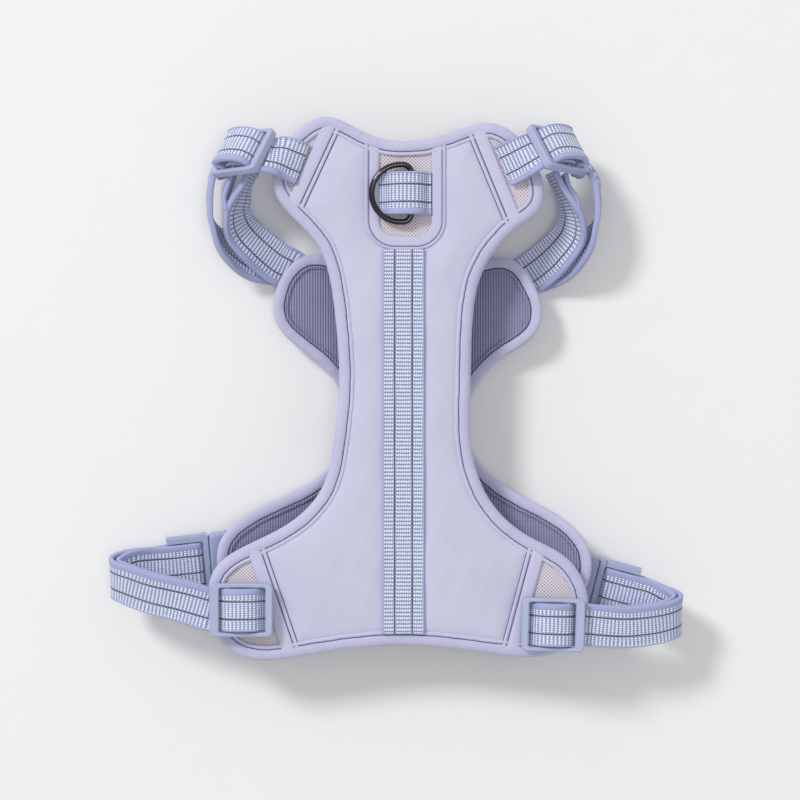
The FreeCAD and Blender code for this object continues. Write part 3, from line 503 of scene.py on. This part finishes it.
class Nodes:
    """Shorthand for building one material's nodes."""

    def __init__(self, name):
        self.material = bpy.data.materials.new(name)
        self.material.use_nodes = True
        self.tree = self.material.node_tree
        self.shader = self.tree.nodes["Principled BSDF"]
        self.place = self.add("ShaderNodeTexCoord").outputs["Object"]

    def add(self, kind, **settings):
        node = self.tree.nodes.new(kind)
        for key, value in settings.items():
            setattr(node, key, value)
        return node

    def link(self, a, b):
        self.tree.links.new(a, b)

    def math(self, operation, a, b=None, clamp=False):
        node = self.add("ShaderNodeMath", operation=operation, use_clamp=clamp)
        for k, v in enumerate((a, b)):
            if v is None:
                continue
            if isinstance(v, (int, float)):
                node.inputs[k].default_value = v
            else:
                self.link(v, node.inputs[k])
        return node.outputs[0]

    def mix(self, factor, a, b):
        node = self.add("ShaderNodeMix", data_type="RGBA")
        for socket, v in ((node.inputs[0], factor), (node.inputs[6], a), (node.inputs[7], b)):
            if isinstance(v, (int, float, tuple)):
                socket.default_value = v
            else:
                self.link(v, socket)
        return node.outputs[2]

    def noise(self, scale, detail=2.0):
        node = self.add("ShaderNodeTexNoise")
        node.inputs["Scale"].default_value = scale
        node.inputs["Detail"].default_value = detail
        self.link(self.place, node.inputs["Vector"])
        return node.outputs["Fac"]

    def split(self, vector):
        node = self.add("ShaderNodeSeparateXYZ")
        self.link(vector, node.inputs[0])
        return node.outputs

    def half_cosine(self, angle):
        return self.math("ADD", self.math("MULTIPLY", self.math("COSINE", angle), 0.5), 0.5)

    def wave(self, value, pitch):
        """1 to 0 to 1 once per pitch (in mm) of a length in metres."""
        return self.half_cosine(self.math("MULTIPLY", value, 2 * math.pi / (pitch * MM)))

    def diamonds(self, x, y, pitch):
        """Spots in slanting rows, as loops of yarn or holes of a mesh lie."""
        return self.math("MULTIPLY", self.wave(self.math("ADD", x, y), pitch),
                         self.wave(self.math("SUBTRACT", x, y), pitch))

    def bump(self, height, strength, reach):
        node = self.add("ShaderNodeBump")
        node.inputs["Strength"].default_value = strength
        node.inputs["Distance"].default_value = reach * MM
        self.link(height, node.inputs["Height"])
        self.link(node.outputs[0], self.shader.inputs["Normal"])

    def finish(self, colour, roughness, sheen=0.0, metallic=0.0, specular=0.5):
        if isinstance(colour, tuple):
            self.shader.inputs["Base Color"].default_value = colour
        else:
            self.link(colour, self.shader.inputs["Base Color"])
        self.shader.inputs["Roughness"].default_value = roughness
        self.shader.inputs["Metallic"].default_value = metallic
        self.shader.inputs["Specular IOR Level"].default_value = specular
        if sheen:
            self.shader.inputs["Sheen Weight"].default_value = sheen
            self.shader.inputs["Sheen Roughness"].default_value = 0.5
        return self.material


def knit_fabric(name, colour, shade, pitch, strength):
    n = Nodes(name)
    x, y, _ = n.split(n.place)
    loops = n.diamonds(x, y, pitch)
    grain = n.noise(2600)
    patches = n.noise(28, 3)
    uneven = n.math("ADD", n.math("MULTIPLY", grain, 0.3), n.math("MULTIPLY", patches, 0.35))
    tone = n.math("ADD", n.math("MULTIPLY", loops, 0.35), uneven)
    n.bump(n.math("ADD", loops, n.math("MULTIPLY", grain, 0.6)), strength, 0.12)
    return n.finish(n.mix(tone, shade, colour), 0.85, sheen=0.15, specular=0.3)


def woven_mesh(name, colour, hole, pitch=2.0):
    n = Nodes(name)
    x, y, _ = n.split(n.place)
    dots = n.diamonds(x, y, pitch)
    grain = n.noise(1500)
    tone = n.math("ADD", n.math("MULTIPLY", dots, 0.8), n.math("MULTIPLY", grain, 0.25), clamp=True)
    n.bump(dots, 0.5, 0.25)
    return n.finish(n.mix(tone, colour, hole), 0.8, sheen=0.1, specular=0.3)


def ribbed_lining(name, colour, groove, line_pitch=1.55, row_pitch=1.3):
    n = Nodes(name)
    x, y, _ = n.split(n.place)
    lines = n.math("POWER", n.wave(x, line_pitch), 2.2)
    rows = n.math("POWER", n.wave(y, row_pitch), 3.0)
    patches = n.noise(26, 2)
    dark = n.math("ADD", n.math("MULTIPLY", lines, 0.75), n.math("MULTIPLY", rows, 0.3), clamp=True)
    n.bump(n.math("SUBTRACT", 1.0, dark), 0.7, 0.3)
    cloth = n.mix(n.math("MULTIPLY", patches, 0.75), colour, darker(colour, 0.5))
    return n.finish(n.mix(dark, cloth, groove), 0.9, sheen=0.1, specular=0.2)


def ribbed_webbing(name, valley, ridge_colour, thread_colour):
    """Ribs across the strap, each a row of slanted beads, and two dark threads along it."""
    bead_pitch, thread_places, thread_half = 1.3, (7.4, 17.6), 0.58
    n = Nodes(name)
    u, v, _ = n.split(n.add("ShaderNodeUVMap", uv_map="run").outputs[0])
    rib = n.wave(v, RIB)
    odd = n.math("MULTIPLY", n.math("ROUND", n.math("DIVIDE", v, RIB * MM)), math.pi)
    slant = n.math("MULTIPLY", v, 0.9 * math.pi / (RIB * MM))
    across = n.math("MULTIPLY", u, 2 * math.pi / (bead_pitch * MM))
    beads = n.half_cosine(n.math("ADD", n.math("ADD", across, slant), odd))
    ridge = n.math("POWER", rib, 0.5)
    lit = n.math("ADD", n.math("MULTIPLY", beads, 0.72), 0.34)
    shine = n.math("MULTIPLY", ridge, lit, clamp=True)
    grain = n.math("SUBTRACT", n.noise(700), 0.5)
    shine = n.math("ADD", shine, n.math("MULTIPLY", grain, 0.35), clamp=True)
    body = n.mix(shine, valley, ridge_colour)
    knot = n.math("MULTIPLY", n.math("POWER", rib, 0.3), thread_half * MM)
    near = [n.math("LESS_THAN", n.math("ABSOLUTE", n.math("SUBTRACT", u, at * MM)), knot)
            for at in thread_places]
    thread = n.math("ADD", *near)
    relief = n.math("ADD", n.math("MULTIPLY", beads, ridge), n.math("MULTIPLY", thread, 0.8))
    n.bump(relief, 0.6, 0.25)
    return n.finish(n.mix(thread, body, thread_colour), 0.6, sheen=0.1, specular=0.4)


def moulded(name, colour):
    n = Nodes(name)
    grain = n.noise(900, 3)
    patches = n.noise(45, 2)
    n.bump(grain, 0.12, 0.05)
    return n.finish(n.mix(patches, darker(colour, 0.9), colour), 0.38)


def dark_metal(name, colour, light_patches):
    n = Nodes(name)
    brushed = n.noise(420, 4)
    patches = n.noise(60, 2)
    n.bump(brushed, 0.06, 0.03)
    return n.finish(n.mix(patches, colour, light_patches), 0.12, metallic=1.0)


panel_fabric = knit_fabric("panel_fabric", linear(219, 218, 238), linear(180, 180, 206), 1.7, 0.6)
binding_fabric = knit_fabric("binding_fabric", linear(219, 218, 241), linear(166, 166, 201),
                             2.0, 1.2)
piping_fabric = knit_fabric("piping_fabric", linear(215, 214, 237), linear(181, 181, 211), 1.5, 0.7)
seam_thread = knit_fabric("seam_thread", linear(112, 110, 150), linear(86, 84, 124), 0.8, 0.3)
# Darker copy of the seam thread for the chest panel: the thread's own colour with painted shade
# added, for the shade the back panel casts on the chest
shaded_seam_thread = knit_fabric("shaded_seam_thread", linear(76, 72, 108), linear(56, 52, 88), 0.8, 0.3)
webbing_edge = knit_fabric("webbing_edge", linear(182, 188, 222), linear(150, 157, 200), 1.0, 0.4)
window_mesh = woven_mesh("window_mesh", linear(234, 226, 232), linear(96, 82, 108))
lining = ribbed_lining("lining", linear(172, 174, 208), linear(82, 80, 116))
webbing = ribbed_webbing("ribbed_webbing", linear(94, 110, 176), linear(250, 253, 255),
                         linear(84, 88, 100))
slider_plastic = moulded("slider_plastic", linear(170, 178, 210))
buckle_plastic = moulded("buckle_plastic", linear(162, 171, 204))
ring_metal = dark_metal("ring_metal", linear(56, 54, 58), linear(84, 81, 84))

# ---------------------------------------------------------------- back panel
ROLL = [(0.0, 3.5), (0.2, 5.0), (0.9, 6.3), (2.2, 7.0), (3.8, 7.3), (5.4, 7.15), (6.3, 6.8),
        (6.6, 6.25), (6.85, 6.3), (7.15, 6.75), (7.9, 6.95), (8.7, 6.75), (9.1, 6.1), (9.1, 4.0),
        (8.4, 0.6), (6.4, 0.1), (4.5, -0.35), (2.4, -0.3), (0.9, 0.45), (0.2, 1.8)]
ROLL_PICKS = [0] * 6 + [1, 1] + [2] * 4 + [0] * 8
HEM_PROFILE = [(0.0, -0.2), (0.1, 1.0), (0.7, 1.6), (2.0, 1.8), (5.0, 1.95), (7.4, 1.8),
               (7.9, 1.45), (8.2, 1.45), (8.6, 1.85), (9.5, 1.95), (10.2, 1.75), (10.5, 1.35),
               (10.8, 1.3), (11.0, -0.2)]
HEM_PICKS = [0] * 5 + [1, 1] + [0] * 3 + [1, 1] + [0, 0]
TRIM_PROFILE = [(0.2, -0.2), (0.1, 0.9), (-0.4, 1.35), (-1.8, 1.5), (-4.6, 1.65), (-5.7, 1.6),
                (-6.0, 1.3), (-6.25, 1.3), (-6.6, 1.85), (-7.3, 2.2), (-8.0, 1.95), (-8.35, 1.3),
                (-8.4, -0.2)]
TRIM_PICKS = [0] * 5 + [1, 1] + [2] * 4 + [0, 0]
STRIP_MIDDLE, STRIP_END = 4.0, 80.5          # the webbing down the middle
back_line = closed_line(BACK_OUTLINE, OUTLINE_STEP)


def back_edge(points):
    return distance(points, back_line)


def in_back(points):
    return inside(points, back_line)


def wing_depth(points):
    """Distance past the nearest hem line, negative on the panel's own side."""
    return np.max([beyond(points, ends) for ends in HEMS.values()], axis=0)


def window_gap(points):
    """Distance outside the window's edge, negative inside it."""
    low = np.array([WINDOW["left"], WINDOW["bottom"]]) + WINDOW["corner"]
    high = np.array([WINDOW["right"], WINDOW["top"] + 20]) - WINDOW["corner"]
    off = points - np.clip(points, low, high)
    return np.linalg.norm(off, axis=1) - WINDOW["corner"]


def pad_top(points):
    x, y = points.T
    return MESH_TOP - 0.5 * np.exp(-back_edge(points) / 6) + 0.12 * wander(x + 0.6 * y, 3, 31)


def pad_bottom(points):
    d = back_edge(points)
    return BACK_FLOOR + 0.15 - 0.35 * (1 - np.exp(-d / 9)) + 0.3 * np.exp(-d / 4)


def in_cover(points):
    return (in_back(points) & (wing_depth(points) < -0.4) & (window_gap(points) > 1.0)
            & (back_edge(points) > 3.5))


def cover_top(points):
    """Crowned between its sewn edges, with low swells and small puckers along the seams."""
    x, y = points.T
    free = np.minimum.reduce([back_edge(points) - ROLL_WIDTH, -wing_depth(points) - HEM_WIDTH,
                              window_gap(points) - TRIM_WIDTH])
    sunk = np.clip(0.35 - free / 1.3, 0, 1)
    edge = np.maximum(free, 0)
    middle = np.maximum(np.abs(x - STRIP_MIDDLE) - WIDTH / 2, 0)
    strip = np.exp(-middle / 3.0) * (y < STRIP_END + 3.5)
    crown = 1.9 * (1 - np.exp(-edge / 7.0)) * (1 - 0.6 * strip)
    swell = 0.32 * wander(y + 0.35 * x, 5, 88) + 0.2 * wander(x * 1.3 - 0.5 * y, 9, 41)
    pucker = 0.13 * wander(y + x * 0.7, 11, 9) * np.exp(-edge / 5) * (1 - sunk)
    return SHELL_TOP + crown + swell * (1 - np.exp(-edge / 12)) + pucker - 1.0 * sunk


def cover_bottom(points):
    return np.full(len(points), MESH_TOP + 0.1)


pieces = []          # (object, finish slot) of what rides on the root body
back_pad = pillow("back_padding", inset(back_line, PAD_INSET), in_back, pad_top, pad_bottom, 2.6,
                  [window_mesh, lining])
back_cover = pillow("back_cover", back_line, in_cover, cover_top, cover_bottom, 1.5,
                    [panel_fabric, panel_fabric])
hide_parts("back_panel_foam", "back_panel_lining", "back_panel_mesh")
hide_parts("back_panel_shell")
pieces += [(back_pad, "window_mesh"), (back_cover, "panel_fabric")]

back_roll = edge_roll("back_binding", BACK_OUTLINE, BACK_FLOOR,
                      [binding_fabric, seam_thread, piping_fabric], level, 1)
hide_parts("back_panel_binding")
pieces.append((back_roll, "binding"))

for corner, ends in HEMS.items():
    a, b = np.array(ends[0], float), np.array(ends[1], float)
    line = a + (b - a) * np.linspace(-0.3, 1.3, 400)[:, None]
    line = line[in_back(line) & (back_edge(line) > 3.0)]
    left_of_line = a + np.array([-(b - a)[1], (b - a)[0]])
    way = 1 if beyond(left_of_line[None], ends)[0] < 0 else -1
    profile, picks = [(way * q, z + MESH_TOP) for q, z in HEM_PROFILE], HEM_PICKS
    if way < 0:
        profile, picks = profile[::-1], picks[-2::-1] + [0]
    hem = seam_band("hem_" + corner, line, profile, picks, [piping_fabric, seam_thread],
                    len(corner))
    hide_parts("back_hem_" + corner)
    pieces.append((hem, "panel_fabric"))

radius = WINDOW["corner"]
turns = np.linspace(0, math.pi / 2, 14)
path = [(WINDOW["left"], WINDOW["top"])]
path += [(WINDOW["left"] + radius - radius * math.cos(t),
          WINDOW["bottom"] + radius - radius * math.sin(t)) for t in turns]
path += [(WINDOW["right"] - radius + radius * math.sin(t),
          WINDOW["bottom"] + radius - radius * math.cos(t)) for t in turns]
path += [(WINDOW["right"], WINDOW["top"])]
trim = seam_band("window_trim", path, [(q, z + MESH_TOP) for q, z in TRIM_PROFILE], TRIM_PICKS,
                 [piping_fabric, seam_thread, binding_fabric], 4)
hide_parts("back_window_trim")
pieces.append((trim, "panel_fabric"))

strip_run = [(STRIP_MIDDLE, y, 45.0, 1, 0, 0) for y in np.linspace(-142, STRIP_END, 24)]
strip = strap("back_strip", strip_run, (1.0, 1.0), gauge=2.0, rim=0.1)
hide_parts("back_webbing")
pieces.append((strip, "webbing"))

loop_profile = [(-9.8, 43.5), (-7.2, 43.7), (-5.2, 45.4), (-2.5, 48.6), (1, 50.6), (6, 51.4),
                (11, 50.8), (14.2, 48.4), (16.2, 45.4), (18, 43.7), (20.2, 43.5)]
leash_loop = strap("leash_loop", [(x, 113, z, 0, -1, 0) for x, z in loop_profile], (1.0, 3.8))
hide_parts("back_leash_loop")
pieces.append((leash_loop, "webbing"))

# ---------------------------------------------------------------- chest panel
chest_line = closed_line(CHEST_OUTLINE, OUTLINE_STEP)


def chest_edge(points):
    return distance(points, chest_line)


def in_chest(points):
    return inside(points, chest_line)


def chest_top(points):
    x, y = points.T
    d = np.maximum(chest_edge(points) - 7, 0)
    return (CHEST_FLOOR + CHEST_THICK + cup(x) - 0.9 + 1.3 * (1 - np.exp(-d / 8))
            + 0.15 * wander(x + y, 2, 37))


def chest_bottom(points):
    return CHEST_FLOOR + cup(points[:, 0]) + 0.25 - 0.2 * (1 - np.exp(-chest_edge(points) / 8))


chest_pad = pillow("chest_padding", inset(chest_line, PAD_INSET), in_chest, chest_top,
                   chest_bottom, 2.4, [lining, panel_fabric])
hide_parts("chest_panel_foam", "chest_panel_lining", "chest_panel_shell")
pieces.append((chest_pad, "lining"))
# On the chest binding the groove takes the shaded thread colour and the inner faces take the darker
# lining colour: painted shade along the binding's inner edge next to the lining
chest_roll = edge_roll("chest_binding", CHEST_OUTLINE, CHEST_FLOOR,
                       [binding_fabric, shaded_seam_thread, lining], cup, 6)
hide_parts("chest_panel_binding")
pieces.append((chest_roll, "binding"))
strip_run = [(CUP_MIDDLE, y, 1.35, 1, 0, 0) for y in np.linspace(-122, 49, 20)]
chest_strip = strap("chest_strip", strip_run, (1.0, 1.0), rim=0.1)
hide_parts("chest_webbing")
pieces.append((chest_strip, "webbing"))


# ---------------------------------------------------------------- thread
def binding_thread(name, outline, floor_height, lift, colour):
    """Stitches along the groove of a rolled edge."""
    line = closed_line(outline, BAND_STEP)
    flat = line + inwards(line, 3) * SEAM_INSET
    height = lift(flat[:, 0]) + floor_height + SEAM_HEIGHT
    pieces.append((stitches(name, np.column_stack([flat, height]), colour), "binding"))


binding_thread("back_binding_thread", BACK_OUTLINE, BACK_FLOOR, level, seam_thread)
# The chest's stitches use the darker thread copy: the thread's own colour with painted shade
binding_thread("chest_binding_thread", CHEST_OUTLINE, CHEST_FLOOR, cup, shaded_seam_thread)


# ---------------------------------------------------------------- straps
def through_slider(place, arch, sense, under):
    """Stations of the fixed layer that goes under a slider, of the arch that moves with the
    slider, and of the strap that leaves it."""
    first, *_, last = [k for k, (x, _) in enumerate(arch) if abs(x) < SLOT_END]
    fixed = arch[:first] + [(x, arch[0][1]) for x in np.arange(arch[first][0], under, 3.0)]
    return [local_stations(place, part, sense)
            for part in (fixed, arch[first - 1:last + 2], arch[last + 1:])]


def moving_webbing(obj, body):
    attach(obj, body)


def girth_strap(side, sense):
    run, borders = GIRTH_RUNS[side], (3.8, 1.0)
    place = SLIDERS[side + "_girth"]
    fixed, moving, leaving = through_slider(place, OVER_MIDDLE, sense, GIRTH_UNDER)
    plug_end = local_stations(BUCKLES[side], ROUND_PLUG_BAR, sense)
    girth = strap(side + "_girth_webbing", leaving + run["out"] + plug_end + run["back"], borders)
    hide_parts(side + "_girth_strap")
    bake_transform(girth)
    pieces.append((strap(side + "_girth_end", fixed, borders), "webbing"))
    moving_webbing(strap(side + "_girth_arch", moving, borders), side + "_girth_adjuster")


def shoulder_strap(side, sense):
    run, borders, rim = SHOULDER_RUNS[side], (1.0, 3.8), 0.6
    place = SLIDERS[side + "_shoulder"]
    fixed, moving, leaving = through_slider(place, OVER_SHOULDER, sense, SHOULDER_UNDER)
    ring_end = local_stations(CHEST_RINGS[side], ROUND_CHEST_RING, sense)
    shoulder = strap(side + "_shoulder_webbing", leaving + run["out"] + ring_end + run["back"],
                     borders, rim=rim)
    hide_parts(side + "_shoulder_strap")
    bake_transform(shoulder)
    end = strap(side + "_shoulder_end", run["hem"] + fixed, borders, rim=rim)
    pieces.append((end, "webbing"))
    arch = strap(side + "_shoulder_arch", moving, borders, rim=rim)
    moving_webbing(arch, side + "_shoulder_adjuster")
    fold = strap(side + "_bar_fold", local_stations(place, ROUND_SLIDER_BAR, sense), (1.0, 1.0),
                 gauge=1.8, width=23.5, rim=0.2)
    moving_webbing(fold, side + "_shoulder_adjuster")


def strap_tail(side, step=0.6, corners=20, half_width=11.8, half_thick=1.75):
    """A free strap end standing on edge, rounded off at its tip."""
    line = respaced(catmull(TAILS[side]), step)
    ahead = unit(np.gradient(line, axis=0))
    up = unit(np.array([0.0, 0.0, 1.0]) - ahead * ahead[:, 2:])
    out = np.cross(ahead, up)
    end = np.minimum(np.arange(len(line))[::-1], 4) / 4
    full = np.sqrt(1 - (1 - end) ** 2) * 0.9 + 0.1
    turn = np.linspace(0, 2 * math.pi, corners, endpoint=False)
    u = np.sign(np.cos(turn)) * np.abs(np.cos(turn)) ** 0.35 * half_width
    t = np.sign(np.sin(turn)) * np.abs(np.sin(turn)) ** 0.6 * half_thick
    rings = (line[:, None] + up[:, None] * u[None, :, None]
             + out[:, None] * (full[:, None] * t[None])[..., None])
    uv = run_uv(u, np.arange(len(line)) * step, rings.shape[:2])
    tail = swept(side + "_strap_tail", rings, False, [webbing_edge], uv, [0] * corners)
    pieces.append((tail, "webbing"))


for side, sense in (("left", 1), ("right", -1)):
    girth_strap(side, sense)
    shoulder_strap(side, sense)
    softened(side + "_shoulder_ring_tab")
    softened(side + "_buckle_tab")
for side in TAILS:
    strap_tail(side)
softened("chest_ring_loop")

for obj, slot_name in pieces:
    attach(obj, "root")

# ---------------------------------------------------------------- fittings from the frame
for name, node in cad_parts.items():
    if "d_ring" in name or name.endswith("shoulder_ring"):
        finish = ring_metal
    elif "slider" in name:
        finish = slider_plastic
    elif "buckle_socket" in name or "buckle_plug" in name or "prong" in name:
        finish = buckle_plastic
    else:
        continue
    node.data.materials.clear()
    node.data.materials.append(finish)

# ---------------------------------------------------------------- floor, light and camera
FLOOR_HALF = 3000          # mm
paper = Nodes("floor_paper")
tone = paper.mix(paper.noise(60, 2), (0.84, 0.84, 0.84, 1), (0.855, 0.855, 0.855, 1))
paper.finish(tone, 0.9, specular=0.1)
floor = new_object("floor", [(x * FLOOR_HALF, y * FLOOR_HALF, 0)
                             for x, y in ((-1, -1), (1, -1), (1, 1), (-1, 1))],
                   [(0, 1, 2, 3)], [paper.material])

world = bpy.data.worlds.new("studio")
bpy.context.scene.world = world
world.use_nodes = True
background = world.node_tree.nodes["Background"]
background.inputs["Color"].default_value = (1.0, 1.0, 1.0, 1)
background.inputs["Strength"].default_value = 0.55


def area_light(name, place, size, energy):
    """A round soft light aimed at the middle of the harness."""
    light = bpy.data.lights.new(name, "AREA")
    light.shape = "DISK"
    light.size = size
    light.energy = energy
    lamp = bpy.data.objects.new(name, light)
    lamp.location = place
    lamp.rotation_euler = (-Vector(place)).to_track_quat("-Z", "Y").to_euler()
    bpy.context.scene.collection.objects.link(lamp)


area_light("key", (-2.9, 2.8, 3.9), 1.3, 160)
area_light("overhead", (0.3, -0.1, 3.0), 0.9, 12.5)

camera_data = bpy.data.cameras.new("camera")
camera_data.lens = 112.7
camera_data.sensor_width = 36
camera = bpy.data.objects.new("camera", camera_data)
camera.location = (0.00203, -0.0067, 1.497)          # straight above
bpy.context.scene.collection.objects.link(camera)
bpy.context.scene.camera = camera
bpy.context.scene.view_settings.view_transform = "Standard"
